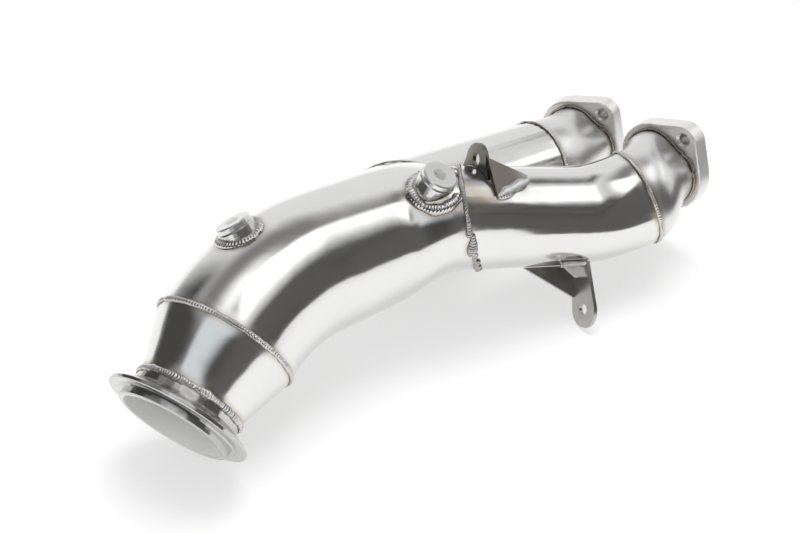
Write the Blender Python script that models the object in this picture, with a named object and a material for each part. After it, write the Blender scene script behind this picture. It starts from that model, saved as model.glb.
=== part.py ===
# Turbo downpipe with a V-band inlet and two flanged outlets.
# Metres, +Z up. It lies on its V-band flange, its lower bracket and its far outlet flange.
import math

import bmesh
import bpy
from mathutils import Matrix, Vector
from mathutils.bvhtree import BVHTree

# Driving dimensions

GAP = 0.0003                 # between pieces that touch
SEAT_GAP = 0.0006            # under a bung, whose foot follows the curved pipe
WALL = 0.0016                # wall of every pipe
MAIN_OD = 0.1016
LEG_OD = 0.0762
INLET_OD = 0.0762            # small end of the cone
OUTLET_OD = 0.0648           # pipe where it meets an outlet flange

# Places are measured from the middle of the Y, 79.5 mm above the floor.
Y_MIDDLE = Vector((-0.0149, -0.0024, 0.0795))

# Main pipe: a straight inlet, one mandrel bend and a straight run to the Y
INLET_AZIMUTH = 60.37
INLET_PITCH = 22.13
MAIN_AZIMUTH = 37.80
MAIN_PITCH = -3.88
MAIN_BEND_RADIUS = 0.1524
MAIN_LEAD_IN = 0.0022
MAIN_RUN = 0.0898            # from the bend to the middle of the Y
CONE_LENGTH = 0.0450

# The Y: two leg openings side by side, cut on the slant
Y_FLARE_LENGTH = 0.0450      # where the round pipe starts to widen
Y_REACH = 0.0207             # leg openings ahead of the middle of the Y
Y_TILT = 24.17               # how far the near side is raised
NEAR_OFFSET = 0.0350
FAR_OFFSET = 0.0460
MITRE_ANGLE = 38.0           # slant of each leg opening
CROTCH_TOP = Vector((0.0100, -0.0045, 0.0450))
CROTCH_REACH = 0.0340
COLLAR = 0.0035              # round end of each branch, where its leg is welded on
FLARE_WAIST = 0.66           # share of the flare at which it parts into two branches

# Legs
NEAR_AZIMUTH = 25.08
NEAR_PITCH = -16.01
NEAR_RUN = 0.0884
NEAR_BEND_RADIUS = 0.1143
NEAR_END_AZIMUTH = 20.75
NEAR_END_PITCH = 15.39
FAR_AZIMUTH = 36.1
FAR_PITCH = -6.4
FAR_RUN = 0.1390

# Necks and outlet flanges; flange places are measured from the middle of the Y
NEAR_FLANGE_PLACE = Vector((0.1949, 0.0814, -0.0051))
NEAR_FLANGE_AZIMUTH = 45.63
NEAR_FLANGE_ROLL = 18.4
FAR_FLANGE_PLACE = Vector((0.1440, 0.1722, -0.0380))
FAR_FLANGE_AZIMUTH = 57.27
FAR_FLANGE_ROLL = 15.2
FLANGE_SIDE = OUTLET_OD + 0.0078
FLANGE_THICKNESS = 0.0140
EAR_CORNER = 0.0136          # the two corners with a bolt hole
ROUND_CORNER = 0.0310        # the two corners without one
FLANGE_BEVEL = 0.0008
BOLT_HOLE = 0.0090
BOLT_INSET = 0.0108          # bolt hole from the flange's straight edges
PINCH = 0.0062               # dent that clears each bolt
PINCH_SPREAD = 30.0          # degrees round the pipe

# V-band flange
VBAND_OD = INLET_OD + 0.0264
VBAND_RIM = 0.0026
VBAND_LENGTH = 0.0210
VBAND_NECK = 0.0065
VBAND_SHOULDER = 0.0035      # step from the neck to the slope that the clamp pulls on
STEP_OD = INLET_OD + 0.0117  # low step between the lip and the disc's flat front
STEP_HEIGHT = 0.0012
LIP_OD = INLET_OD + 0.0053
LIP_LENGTH = 0.0050
TURNED_EDGE = 0.0006         # small chamfer on turned edges

# Sensor bungs and their plugs
BUNG_OD = 0.0268
BUNG_BORE = 0.0180
PLUG_HEAD_OD = 0.0255
PLUG_HEAD = 0.0038
PLUG_LENGTH = 0.0130
SOCKET_ACROSS = 0.0120
SOCKET_DEPTH = 0.0055
CHAMFER = 0.0008
BUNG_WELD_REACH = 0.0028
BUNG_WELD_HEIGHT = 0.0026
BUNG_HOLE_REACH = 0.0300     # length of the tool that cuts the pipe under a bung
SEAM_BUNG_STATION = -0.0412  # along the near leg's axis, before its seam
SEAM_BUNG_CLOCK = -9.66
SEAM_BUNG_SINK = 0.0044      # under the leg's outside
SEAM_BUNG_AZIMUTH = -20.8
SEAM_BUNG_PITCH = 65.2
SEAM_BUNG_HEIGHT = 0.0064
BEND_BUNG_PLACE = Vector((-0.1208, -0.0790, 0.0510))
BEND_BUNG_AZIMUTH = 151.0
BEND_BUNG_PITCH = 57.8
BEND_BUNG_HEIGHT = 0.0045

# Brackets: stations run along the near leg from its opening, clock angles from its top,
# and heights are measured from the leg's outside.
PLATE = 0.0030
LUG_HOLE = 0.0090
LUG_SINK = 0.0040            # how far a plate's outline runs into the leg before it is trimmed
UPPER_STATION = 0.0010
UPPER_CLOCK = 16.0
UPPER_LUG_RADIUS = 0.0130
UPPER_LUG_HEIGHT = 0.0179
UPPER_HOLE_HEIGHT = 0.0059
UPPER_FOOT = (-27.0, 48.0)
UPPER_WING = ((UPPER_STATION, 3.0, 0.0105), (UPPER_STATION, -33.0, 0.0008), (0.0342, -8.9, 0.0012))
LOWER_STATION = 0.0965
LOWER_CLOCK = -138.0
LOWER_LUG_RADIUS = 0.0135
LOWER_LUG_HEIGHT = 0.0487
LOWER_HOLE_HEIGHT = 0.0344
LOWER_FOOT = (-150.0, -120.0)
LOWER_WING = ((LOWER_STATION, -148.0, 0.0259), (LOWER_STATION, -150.0, -0.0031), (0.0480, -146.0, 0.0004))
FLAP_CLOCK = -127.5
FLAP = ((0.0745, -LUG_SINK), (0.0745, 0.0006), (0.0850, 0.0114), (LOWER_STATION, 0.0114), (LOWER_STATION, -LUG_SINK))

# Weld beads
BEAD_WIDTH = 0.0046
BEAD_HEIGHT = 0.0017
VBAND_BEAD_WIDTH = 0.0058
FILLET = 0.0021
BRACKET_FILLET = 0.0034

# Facets
ROUND = 36
BEAD_STEPS = 30
NECK_STEPS = 5
FLARE_STEPS = 4
BRANCH_STEPS = 3
FAIRING_PASSES = 3

STEEL = (0.72, 0.72, 0.70)
SATIN = (0.55, 0.54, 0.52)
BRACKET_STEEL = (0.42, 0.41, 0.38)
WELD_STEEL = (0.60, 0.59, 0.56)
PLUG_STEEL = (0.62, 0.61, 0.60)


def heading(azimuth, pitch):
    """Unit vector from an azimuth and a pitch in degrees."""
    turn = math.radians(azimuth)
    rise = math.radians(pitch)
    return Vector((math.cos(rise) * math.cos(turn), math.cos(rise) * math.sin(turn), math.sin(rise)))


def upright(axis):
    """The direction across an axis that points most nearly up."""
    up = Vector((0, 0, 1))
    return (up - axis * up.dot(axis)).normalized()


def clear_scene():
    for thing in list(bpy.data.objects):
        bpy.data.objects.remove(thing, do_unlink=True)


def steel(name, colour, roughness):
    made = bpy.data.materials.new(name)
    made.use_nodes = True
    shader = made.node_tree.nodes["Principled BSDF"]
    shader.inputs["Base Color"].default_value = (*colour, 1)
    shader.inputs["Metallic"].default_value = 1.0
    shader.inputs["Roughness"].default_value = roughness
    made.diffuse_color = (*colour, 1)
    return made


def finish(name, bm, colour, roughness, smooth_angle=35):
    """Turns a bmesh into a named object with its own material."""
    bmesh.ops.remove_doubles(bm, verts=bm.verts, dist=1e-7)
    bmesh.ops.recalc_face_normals(bm, faces=bm.faces)
    mesh = bpy.data.meshes.new(name)
    bm.to_mesh(mesh)
    bm.free()
    mesh.shade_smooth()
    mesh.set_sharp_from_angle(angle=math.radians(smooth_angle))
    mesh.materials.append(steel(name + "_steel", colour, roughness))
    thing = bpy.data.objects.new(name, mesh)
    bpy.context.scene.collection.objects.link(thing)
    return thing


def bridge(bm, below, above):
    """A belt of faces between two closed rows of vertices."""
    for j in range(len(below)):
        k = (j + 1) % len(below)
        bm.faces.new((below[j], below[k], above[k], above[j]))


def skin(bm, loops, closed):
    """Faces between equal loops of points; closed joins the last loop to the first."""
    rows = [[bm.verts.new(point) for point in loop] for loop in loops]
    for below, above in zip(rows, rows[1:]):
        bridge(bm, below, above)
    if closed:
        bridge(bm, rows[-1], rows[0])
    return rows


def shell_between(outer, inner):
    """A closed wall from outer loops and inner loops."""
    bm = bmesh.new()
    skin(bm, outer + inner[::-1], closed=True)
    return bm


def make_guide(thing):
    thing.hide_render = True
    thing.display_type = "WIRE"


def cut(thing, cutter):
    step = thing.modifiers.new("cut_" + cutter.name, "BOOLEAN")
    step.operation = "DIFFERENCE"
    step.solver = "EXACT"
    step.object = cutter
    make_guide(cutter)


def rod(name, centre, axis, radius, length, sides=ROUND):
    """A guide cylinder centred on a point."""
    bm = bmesh.new()
    place = Matrix.Translation(centre) @ axis.to_track_quat("Z", "Y").to_matrix().to_4x4()
    bmesh.ops.create_cone(bm, cap_ends=True, segments=sides, radius1=radius, radius2=radius,
                          depth=length, matrix=place)
    return finish(name, bm, SATIN, 0.5)


class Run:
    """A pipe's centre line: points, directions and a frame carried along without twist."""

    def __init__(self, start, axis, across):
        self.points = [start.copy()]
        self.axes = [axis.copy()]
        self.sides = [across.copy()]

    def straight(self, length, steps=1):
        for _ in range(steps):
            self.points.append(self.points[-1] + self.axes[-1] * (length / steps))
            self.axes.append(self.axes[-1].copy())
            self.sides.append(self.sides[-1].copy())

    def bend(self, last, radius, steps):
        first = self.axes[-1]
        pivot_axis = first.cross(last).normalized()
        centre = self.points[-1] + pivot_axis.cross(first) * radius
        turn = Matrix.Rotation(first.angle(last) / steps, 3, pivot_axis)
        for _ in range(steps):
            self.points.append(centre + turn @ (self.points[-1] - centre))
            self.axes.append(turn @ self.axes[-1])
            self.sides.append(turn @ self.sides[-1])

    def reversed_run(self):
        other = Run(self.points[-1], -self.axes[-1], self.sides[-1])
        other.points = self.points[::-1]
        other.axes = [-axis for axis in self.axes[::-1]]
        other.sides = self.sides[::-1]
        return other


def circle(centre, axis, side, radius, count=ROUND):
    """Points round an axis; angle 0 is at side, a quarter turn on is the upper side."""
    top = side.cross(axis).normalized()
    if top.z < 0:
        top = -top
    loop = []
    for k in range(count):
        angle = math.tau * k / count
        loop.append(centre + (side * math.cos(angle) + top * math.sin(angle)) * radius)
    return loop


def loops_along(run, radii):
    return [circle(p, a, s, r) for p, a, s, r in zip(run.points, run.axes, run.sides, radii)]


def tube(name, run, outer_radii, colour=STEEL, roughness=0.12):
    inner_radii = [radius - WALL for radius in outer_radii]
    return finish(name, shell_between(loops_along(run, outer_radii), loops_along(run, inner_radii)),
                  colour, roughness)


def turned(name, origin, axis, profile, colour, roughness, count=ROUND):
    """A closed ring turned from (distance along the axis, radius) points."""
    side = upright(axis)
    bm = bmesh.new()
    skin(bm, [circle(origin + axis * along, axis, side, radius, count) for along, radius in profile],
         closed=True)
    return finish(name, bm, colour, roughness)


def bead_section(base, along, out, width, height):
    """Domed section of a butt weld: flat foot, round back."""
    points = [base - along * width / 2, base + along * width / 2]
    for angle in (40, 90, 140):
        swing = math.radians(angle)
        points.append(base + along * (width / 2 * math.cos(swing)) + out * (height * math.sin(swing)))
    return points


def butt_weld(name, feet, alongs, outs, width=BEAD_WIDTH, height=BEAD_HEIGHT):
    """A weld bead round a pipe, standing a gap off it."""
    bm = bmesh.new()
    skin(bm, [bead_section(f + o * GAP, a, o, width, height) for f, a, o in zip(feet, alongs, outs)],
         closed=True)
    return finish(name, bm, WELD_STEEL, 0.3, smooth_angle=60)


def ring_weld(name, centre, axis, radius, width=BEAD_WIDTH, height=BEAD_HEIGHT):
    """A butt weld square to the pipe."""
    rim = circle(centre, axis, upright(axis), radius, BEAD_STEPS)
    outs = [(point - centre).normalized() for point in rim]
    return butt_weld(name, rim, [axis] * len(rim), outs, width, height)


def fillet(name, corners, rises, outs, height, reach, closed):
    """A weld in a corner: rises lead up one wall and outs lead along the other."""
    loops = []
    for corner, rise, out in zip(corners, rises, outs):
        top = corner + rise * height
        toe = corner + out * reach
        loops.append([corner, toe, (toe + top) / 2 + (rise + out) * min(height, reach) * 0.1, top])
    bm = bmesh.new()
    rows = skin(bm, loops, closed=closed)
    if not closed:
        bm.faces.new(rows[0])
        bm.faces.new(rows[-1])
    return finish(name, bm, WELD_STEEL, 0.3, smooth_angle=60)


def hermite(start, leave, end, arrive, t):
    """A smooth curve between two points with given leaving and arriving vectors."""
    a = 2 * t ** 3 - 3 * t ** 2 + 1
    b = t ** 3 - 2 * t ** 2 + t
    c = -2 * t ** 3 + 3 * t ** 2
    d = t ** 3 - t ** 2
    return start * a + leave * b + end * c + arrive * d


# Frames of the main pipe and of the Y

MAIN_AXIS = heading(MAIN_AZIMUTH, MAIN_PITCH)
INLET_AXIS = heading(INLET_AZIMUTH, INLET_PITCH)
NEAR_AXIS = heading(NEAR_AZIMUTH, NEAR_PITCH)
NEAR_END_AXIS = heading(NEAR_END_AZIMUTH, NEAR_END_PITCH)
FAR_AXIS = heading(FAR_AZIMUTH, FAR_PITCH)
Y_TURN = Matrix.Rotation(math.radians(-Y_TILT), 3, MAIN_AXIS)
Y_SIDE = Y_TURN @ MAIN_AXIS.cross(upright(MAIN_AXIS))
Y_TOP = Y_SIDE.cross(MAIN_AXIS)


def in_y(forward, sideways, upward):
    """A place given along, across and above the main pipe's axis at the Y."""
    return Y_MIDDLE + MAIN_AXIS * forward + Y_SIDE * sideways + Y_TOP * upward


def main_run():
    """The main pipe's centre line from the cone to the start of the Y's flare."""
    back = Run(in_y(-Y_FLARE_LENGTH, 0, 0), -MAIN_AXIS, Y_SIDE)
    back.straight(MAIN_RUN - Y_FLARE_LENGTH)
    back.bend(-INLET_AXIS, MAIN_BEND_RADIUS, 8)
    back.straight(MAIN_LEAD_IN)
    return back.reversed_run()


class LegOpening:
    """The slanted opening where a leg meets the Y; sign is +1 on the near side."""

    def __init__(self, axis, offset, sign):
        self.axis = axis
        self.sign = sign
        self.centre = in_y(Y_REACH, sign * offset, 0)
        swing = math.radians(MITRE_ANGLE)
        self.plane = MAIN_AXIS * math.cos(swing) + Y_SIDE * (sign * math.sin(swing))
        self.side = (Y_SIDE - axis * Y_SIDE.dot(axis)).normalized()

    def rim(self, radius, shift=0.0, count=ROUND):
        """The opening's outline, moved along the leg by shift."""
        loop = []
        for point in circle(self.centre, self.axis, self.side, radius, count):
            slide = (self.centre - point).dot(self.plane) / self.axis.dot(self.plane)
            loop.append(point + self.axis * (slide + shift))
        return loop


NEAR_OPENING = LegOpening(NEAR_AXIS, NEAR_OFFSET, 1)
FAR_OPENING = LegOpening(FAR_AXIS, FAR_OFFSET, -1)


def crotch_point(angle, grow):
    """A point of the saddle line between the legs; grow thickens the body."""
    reach = CROTCH_TOP.x + (CROTCH_REACH - CROTCH_TOP.x) * abs(math.cos(angle)) ** 1.4
    return in_y(reach + grow, CROTCH_TOP.y, (CROTCH_TOP.z + grow) * math.sin(angle))


def flare(angle, opening, grow, t):
    """A point of the flare between the round pipe and a leg opening."""
    start = in_y(-Y_FLARE_LENGTH, 0, 0)
    start += (Y_SIDE * math.cos(angle) + Y_TOP * math.sin(angle)) * (MAIN_OD / 2 + grow)
    index = round(angle / math.tau * ROUND) % ROUND
    end = opening.rim(LEG_OD / 2 + grow, -COLLAR)[index]
    reach = (end - start).length
    body = hermite(start, MAIN_AXIS * reach, end, opening.axis * reach, t)
    pull = max(0.0, (abs(math.sin(angle)) - 0.80) / 0.20)
    pull = pull * pull * (3 - 2 * pull)
    target = in_y(CROTCH_TOP.x, CROTCH_TOP.y, math.copysign(CROTCH_TOP.z + grow, math.sin(angle)))
    spine = hermite(start, MAIN_AXIS * 0.05, target, MAIN_AXIS * 0.05, min(1.0, t / FLARE_WAIST))
    return body.lerp(spine, pull) if t <= FLARE_WAIST else body


def y_surface(bm, grow):
    """Main pipe and Y as one skin; returns its three open rims."""
    run = main_run()
    radius = MAIN_OD / 2 + grow
    angles = [math.tau * k / ROUND for k in range(ROUND)]
    quarter = ROUND // 4

    def opening_at(angle):
        return NEAR_OPENING if math.cos(angle) > -1e-9 else FAR_OPENING

    loops = loops_along(run, [radius] * len(run.points))
    for step in range(1, FLARE_STEPS + 1):
        t = FLARE_WAIST * step / FLARE_STEPS
        loops.append([flare(angle, opening_at(angle), grow, t) for angle in angles])
    rows = skin(bm, loops, closed=False)
    waist = rows[-1]

    rims = []
    saddle = {}
    soft = [vertex for row in rows[len(run.points) + 1:] for vertex in row]
    for opening in (NEAR_OPENING, FAR_OPENING):
        outer = [k for k in range(ROUND) if opening.sign * math.cos(angles[k]) > 1e-9]
        edge = opening.rim(LEG_OD / 2 + grow, -COLLAR)
        ring = []
        for k in range(ROUND):
            if k in outer or k in (quarter, 3 * quarter):
                ring.append(waist[k])
            else:
                mirrored = (ROUND // 2 - k) % ROUND
                if min(k, mirrored) not in saddle:
                    saddle[min(k, mirrored)] = bm.verts.new(crotch_point(angles[min(k, mirrored)], grow))
                ring.append(saddle[min(k, mirrored)])
        previous = ring
        for step in range(1, BRANCH_STEPS + 1):
            share = step / BRANCH_STEPS
            here = []
            for k in range(ROUND):
                if k in outer:
                    t = FLARE_WAIST + (1 - FLARE_WAIST) * share
                    point = flare(angles[k], opening, grow, t)
                else:
                    start = ring[k].co
                    reach = (edge[k] - start).length
                    leave = (opening.axis + Y_SIDE * (0.5 * opening.sign)).normalized() * reach
                    point = hermite(start, leave, edge[k], opening.axis * reach, share)
                here.append(bm.verts.new(point))
            bridge(bm, previous, here)
            previous = here
            if step < BRANCH_STEPS - 1:
                soft += here
        mouth = [bm.verts.new(point) for point in opening.rim(LEG_OD / 2 + grow)]
        bridge(bm, previous, mouth)
        rims.append(mouth)
    for _ in range(FAIRING_PASSES):
        bmesh.ops.smooth_vert(bm, verts=soft, factor=0.5, use_axis_x=True, use_axis_y=True, use_axis_z=True)
    return rows[0], rims[0], rims[1]


def main_pipe():
    bm = bmesh.new()
    outer = y_surface(bm, 0.0)
    inner = y_surface(bm, -WALL)
    for first, second in zip(outer, inner):
        bridge(bm, first, second)
    return finish("main_pipe", bm, STEEL, 0.12)


def outer_tree():
    """The main pipe's outside, for seating what is welded on it."""
    bm = bmesh.new()
    for rim in y_surface(bm, 0.0):
        bm.faces.new(rim)
    bmesh.ops.recalc_face_normals(bm, faces=bm.faces)
    tree = BVHTree.FromBMesh(bm)
    bm.free()
    return tree


def inlet():
    """Cone, V-band flange and the two ring welds between them and the pipe."""
    origin = main_run().points[0]
    axis = INLET_AXIS
    big, small = MAIN_OD / 2, INLET_OD / 2
    foot = -CONE_LENGTH + GAP
    turned("inlet_cone", origin, axis,
           [(-GAP, big), (-0.004, big), (foot + 0.004, small), (foot, small),
            (foot, small - WALL), (foot + 0.004, small - WALL), (-0.004, big - WALL), (-GAP, big - WALL)],
           STEEL, 0.12)
    back = -CONE_LENGTH
    face = back - VBAND_LENGTH
    disc_front = face + LIP_LENGTH
    neck_end = back - VBAND_NECK
    turned("vband_flange", origin, axis,
           [(back, small), (neck_end, small), (neck_end - 0.0015, small + VBAND_SHOULDER),
            (disc_front + VBAND_RIM + TURNED_EDGE, VBAND_OD / 2 - TURNED_EDGE),
            (disc_front + VBAND_RIM, VBAND_OD / 2), (disc_front + TURNED_EDGE, VBAND_OD / 2),
            (disc_front, VBAND_OD / 2 - TURNED_EDGE), (disc_front, STEP_OD / 2),
            (disc_front - STEP_HEIGHT, STEP_OD / 2 - TURNED_EDGE), (disc_front - STEP_HEIGHT, LIP_OD / 2),
            (face + TURNED_EDGE, LIP_OD / 2), (face, LIP_OD / 2 - TURNED_EDGE),
            (face, small - WALL + TURNED_EDGE), (face + TURNED_EDGE, small - WALL), (back, small - WALL)],
           SATIN, 0.25, count=40)
    ring_weld("weld_cone", origin - axis * GAP / 2, axis, big)
    ring_weld("weld_vband", origin + axis * (back + GAP / 2), axis, small, width=VBAND_BEAD_WIDTH)


def near_run():
    run = Run(NEAR_OPENING.centre, NEAR_AXIS, NEAR_OPENING.side)
    run.straight(NEAR_RUN, 1)
    run.bend(NEAR_END_AXIS, NEAR_BEND_RADIUS, 7)
    return run


def far_run():
    run = Run(FAR_OPENING.centre, FAR_AXIS, FAR_OPENING.side)
    run.straight(FAR_RUN, 1)
    return run


def leg(name, opening, run):
    """A leg: its start follows the slanted opening, the rest its centre line."""
    loops = []
    for radius in (LEG_OD / 2, LEG_OD / 2 - WALL):
        start = opening.rim(radius, GAP)
        loops.append([start] + loops_along(run, [radius] * len(run.points))[1:])
    return finish(name, shell_between(*loops), STEEL, 0.12)


def seam_feet(opening):
    """Places round a slanted leg opening and the outward directions there."""
    rim = opening.rim(LEG_OD / 2, GAP / 2, BEAD_STEPS)
    outs = []
    for point in rim:
        away = point - opening.centre
        outs.append((away - opening.axis * away.dot(opening.axis)).normalized())
    return rim, outs


def seam_weld(name, opening):
    """The weld round a slanted leg opening."""
    rim, outs = seam_feet(opening)
    return butt_weld(name, rim, [opening.axis] * len(rim), outs)


def seam_clearance(opening):
    """A guide that clears the seam weld, for what is welded on beside it."""
    half = opening.axis * (BEAD_WIDTH / 2 + GAP)
    bm = bmesh.new()
    loops = []
    for place, out in zip(*seam_feet(opening)):
        foot = place - out * BEAD_HEIGHT
        crown = place + out * (BEAD_HEIGHT + GAP * 2)
        loops.append([foot - half, foot + half, crown + half, crown - half])
    skin(bm, loops, closed=True)
    guide = finish("seam_clearance_guide", bm, SATIN, 0.5)
    make_guide(guide)
    return guide


class FlangeFrame:
    """An outlet flange's place and directions; its ears point up and across, and down and back."""

    def __init__(self, place, azimuth, roll):
        self.place = Y_MIDDLE + place
        self.axis = heading(azimuth, 0)
        self.across = Matrix.Rotation(math.radians(roll), 3, -self.axis) @ self.axis.cross(Vector((0, 0, 1)))
        self.upward = self.across.cross(self.axis)
        self.ear = (self.across + self.upward).normalized()

    def pinched(self, loop, centre, share):
        """A loop with its two sides that face a bolt dented inwards."""
        dented = []
        for point in loop:
            out = (point - centre).normalized()
            off_ear = math.degrees(math.acos(min(1.0, abs(out.dot(self.ear)))))
            dent = PINCH * share * math.exp(-(off_ear / PINCH_SPREAD) ** 2)
            dented.append(point - out * dent)
        return dented


NEAR_FLANGE = FlangeFrame(NEAR_FLANGE_PLACE, NEAR_FLANGE_AZIMUTH, NEAR_FLANGE_ROLL)
FAR_FLANGE = FlangeFrame(FAR_FLANGE_PLACE, FAR_FLANGE_AZIMUTH, FAR_FLANGE_ROLL)


def neck(name, run, frame):
    """A tight reducing bend from a leg's end to its flange, with a short collar at each end."""
    centre_line = Run(run.points[-1] + run.axes[-1] * GAP, run.axes[-1], run.sides[-1])
    centre_line.straight(COLLAR)
    start = centre_line.points[-1]
    end = frame.place - frame.axis * (GAP + COLLAR)
    reach = (end - start).length
    radii = [LEG_OD / 2, LEG_OD / 2]
    shares = [0.0, 0.0]
    for step in range(1, NECK_STEPS + 1):
        t = step / NECK_STEPS
        eased = t * t * (3 - 2 * t)
        point = hermite(start, run.axes[-1] * reach, end, frame.axis * reach, t)
        axis = run.axes[-1].lerp(frame.axis, t).normalized()
        side = centre_line.sides[-1]
        centre_line.points.append(point)
        centre_line.axes.append(axis)
        centre_line.sides.append((side - axis * side.dot(axis)).normalized())
        radii.append(LEG_OD / 2 + (OUTLET_OD - LEG_OD) / 2 * eased)
        shares.append(eased * eased)
    centre_line.straight(COLLAR)
    radii.append(radii[-1])
    shares.append(1.0)
    walls = []
    for inset in (0, WALL):
        loops = loops_along(centre_line, [radius - inset for radius in radii])
        walls.append([frame.pinched(loop, centre, share)
                      for loop, centre, share in zip(loops, centre_line.points, shares)])
    return finish(name, shell_between(*walls), STEEL, 0.12)


def prism(name, outlines, colour, roughness):
    """A closed solid skinned over equal outlines, with both ends capped."""
    bm = bmesh.new()
    rows = skin(bm, outlines, closed=False)
    bm.faces.new(rows[0])
    bm.faces.new(rows[-1])
    return finish(name, bm, colour, roughness)


def outlet_flange(name, frame):
    """A thick plate with two ears, the pinched pipe's bore and two bolt holes."""
    half = FLANGE_SIDE / 2
    outline = []
    for corner, radius in enumerate((EAR_CORNER, ROUND_CORNER, EAR_CORNER, ROUND_CORNER)):
        middle = Matrix.Rotation(math.radians(90 * corner), 2) @ Vector((half - radius, half - radius))
        for step in range(7):
            angle = math.radians(90 * corner + 15 * step)
            outline.append(middle + Vector((math.cos(angle), math.sin(angle))) * radius)

    def level(depth, shrink):
        scale = 1 - shrink / half
        return [frame.place + frame.axis * depth + (frame.across * p.x + frame.upward * p.y) * scale
                for p in outline]

    plate = prism(name, [level(0, FLANGE_BEVEL), level(FLANGE_BEVEL, 0),
                         level(FLANGE_THICKNESS - FLANGE_BEVEL, 0), level(FLANGE_THICKNESS, FLANGE_BEVEL)],
                  SATIN, 0.3)
    ends = []
    for depth in (-FLANGE_THICKNESS, FLANGE_THICKNESS * 2):
        centre = frame.place + frame.axis * depth
        ends.append(frame.pinched(circle(centre, frame.axis, frame.across, OUTLET_OD / 2 - WALL), centre, 1.0))
    cut(plate, prism(name + "_bore_guide", ends, SATIN, 0.5))
    middle = frame.place + frame.axis * FLANGE_THICKNESS / 2
    for number, sign in enumerate((1, -1)):
        hole = middle + (frame.across + frame.upward) * (sign * (half - BOLT_INSET))
        cut(plate, rod(f"{name}_bolt_guide_{number}", hole, frame.axis, BOLT_HOLE / 2, FLANGE_THICKNESS * 2, 20))
    return plate


def flange_weld(name, frame):
    """The fillet where a neck meets its flange's face."""
    centre = frame.place - frame.axis * GAP
    rim = frame.pinched(circle(centre, frame.axis, frame.across, OUTLET_OD / 2 + GAP, ROUND), centre, 1.0)
    outs = []
    for index, point in enumerate(rim):
        along = rim[(index + 1) % len(rim)] - rim[index - 1]
        out = along.cross(frame.axis).normalized()
        outs.append(out if out.dot(point - centre) > 0 else -out)
    return fillet(name, rim, [-frame.axis] * len(rim), outs, FILLET, FILLET, closed=True)


def seat_under(tree, origin, axis):
    """The place on the pipe's outside that lies under a point, looking back along an axis."""
    high = origin + axis * 0.1
    return tree.ray_cast(high, -axis)[0]


def bung(name, place, axis, height, tree):
    """Sensor bung, its plug and its weld, seated on the pipe's outside; returns the weld and the bore."""
    side = upright(axis)
    top = seat_under(tree, place, axis) + axis * height
    wide, bore = BUNG_OD / 2, BUNG_BORE / 2
    count = 24

    def seated(radius):
        return [seat_under(tree, point, axis) + axis * SEAT_GAP for point in circle(top, axis, side, radius, count)]

    loops = [circle(top, axis, side, wide - CHAMFER, count), circle(top - axis * CHAMFER, axis, side, wide, count),
             *[seated(wide + (bore - wide) * k / 3) for k in range(4)], circle(top, axis, side, bore, count)]
    bm = bmesh.new()
    skin(bm, loops, closed=True)
    finish(name + "_bung", bm, SATIN, 0.25)

    head = PLUG_HEAD_OD / 2
    stem = bore - GAP
    bm = bmesh.new()
    rows = skin(bm, [circle(top + axis * (GAP + PLUG_HEAD), axis, side, head - CHAMFER, count),
                     circle(top + axis * (GAP + PLUG_HEAD - CHAMFER), axis, side, head, count),
                     circle(top + axis * GAP, axis, side, head, count),
                     circle(top + axis * GAP, axis, side, stem, count),
                     circle(top + axis * (GAP + PLUG_HEAD - PLUG_LENGTH), axis, side, stem, count)],
                closed=False)
    bm.faces.new(rows[0])
    bm.faces.new(rows[-1])
    plug = finish(name + "_plug", bm, PLUG_STEEL, 0.3)
    middle = top + axis * (GAP + PLUG_HEAD)
    cut(plug, rod(name + "_socket_guide", middle, axis, SOCKET_ACROSS / 2, SOCKET_DEPTH * 2, 6))

    loops = []
    for foot, toe in zip(seated(wide + GAP), seated(wide + BUNG_WELD_REACH)):
        crown = foot + axis * BUNG_WELD_HEIGHT
        loops.append([foot, toe, (toe + crown) / 2 + (crown - foot + toe - foot) * 0.12, crown])
    bm = bmesh.new()
    skin(bm, loops, closed=True)
    weld = finish("weld_" + name + "_bung", bm, WELD_STEEL, 0.3, smooth_angle=60)
    return weld, rod(name + "_bore_guide", place, axis, bore, BUNG_HOLE_REACH)


def around_leg(clock):
    """Outward direction at a clock angle: degrees from the leg's top, away from the near side."""
    up = upright(NEAR_AXIS)
    angle = math.radians(clock)
    return up * math.cos(angle) + up.cross(NEAR_AXIS) * math.sin(angle)


def on_leg(station, clock, height):
    """A place at a height over the near leg's outside."""
    return NEAR_OPENING.centre + NEAR_AXIS * station + around_leg(clock) * (LEG_OD / 2 + height)


def plate_normal(outline):
    return (outline[1] - outline[0]).cross(outline[2] - outline[0]).normalized()


def flat_plate(name, outline):
    """A flat plate of sheet steel, thickened both ways from its outline."""
    half = plate_normal(outline) * PLATE / 2
    return prism(name, [[p - half for p in outline], [p + half for p in outline]], BRACKET_STEEL, 0.4)


def union(thing, other):
    step = thing.modifiers.new("join_" + other.name, "BOOLEAN")
    step.operation = "UNION"
    step.solver = "EXACT"
    step.object = other
    make_guide(other)


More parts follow.
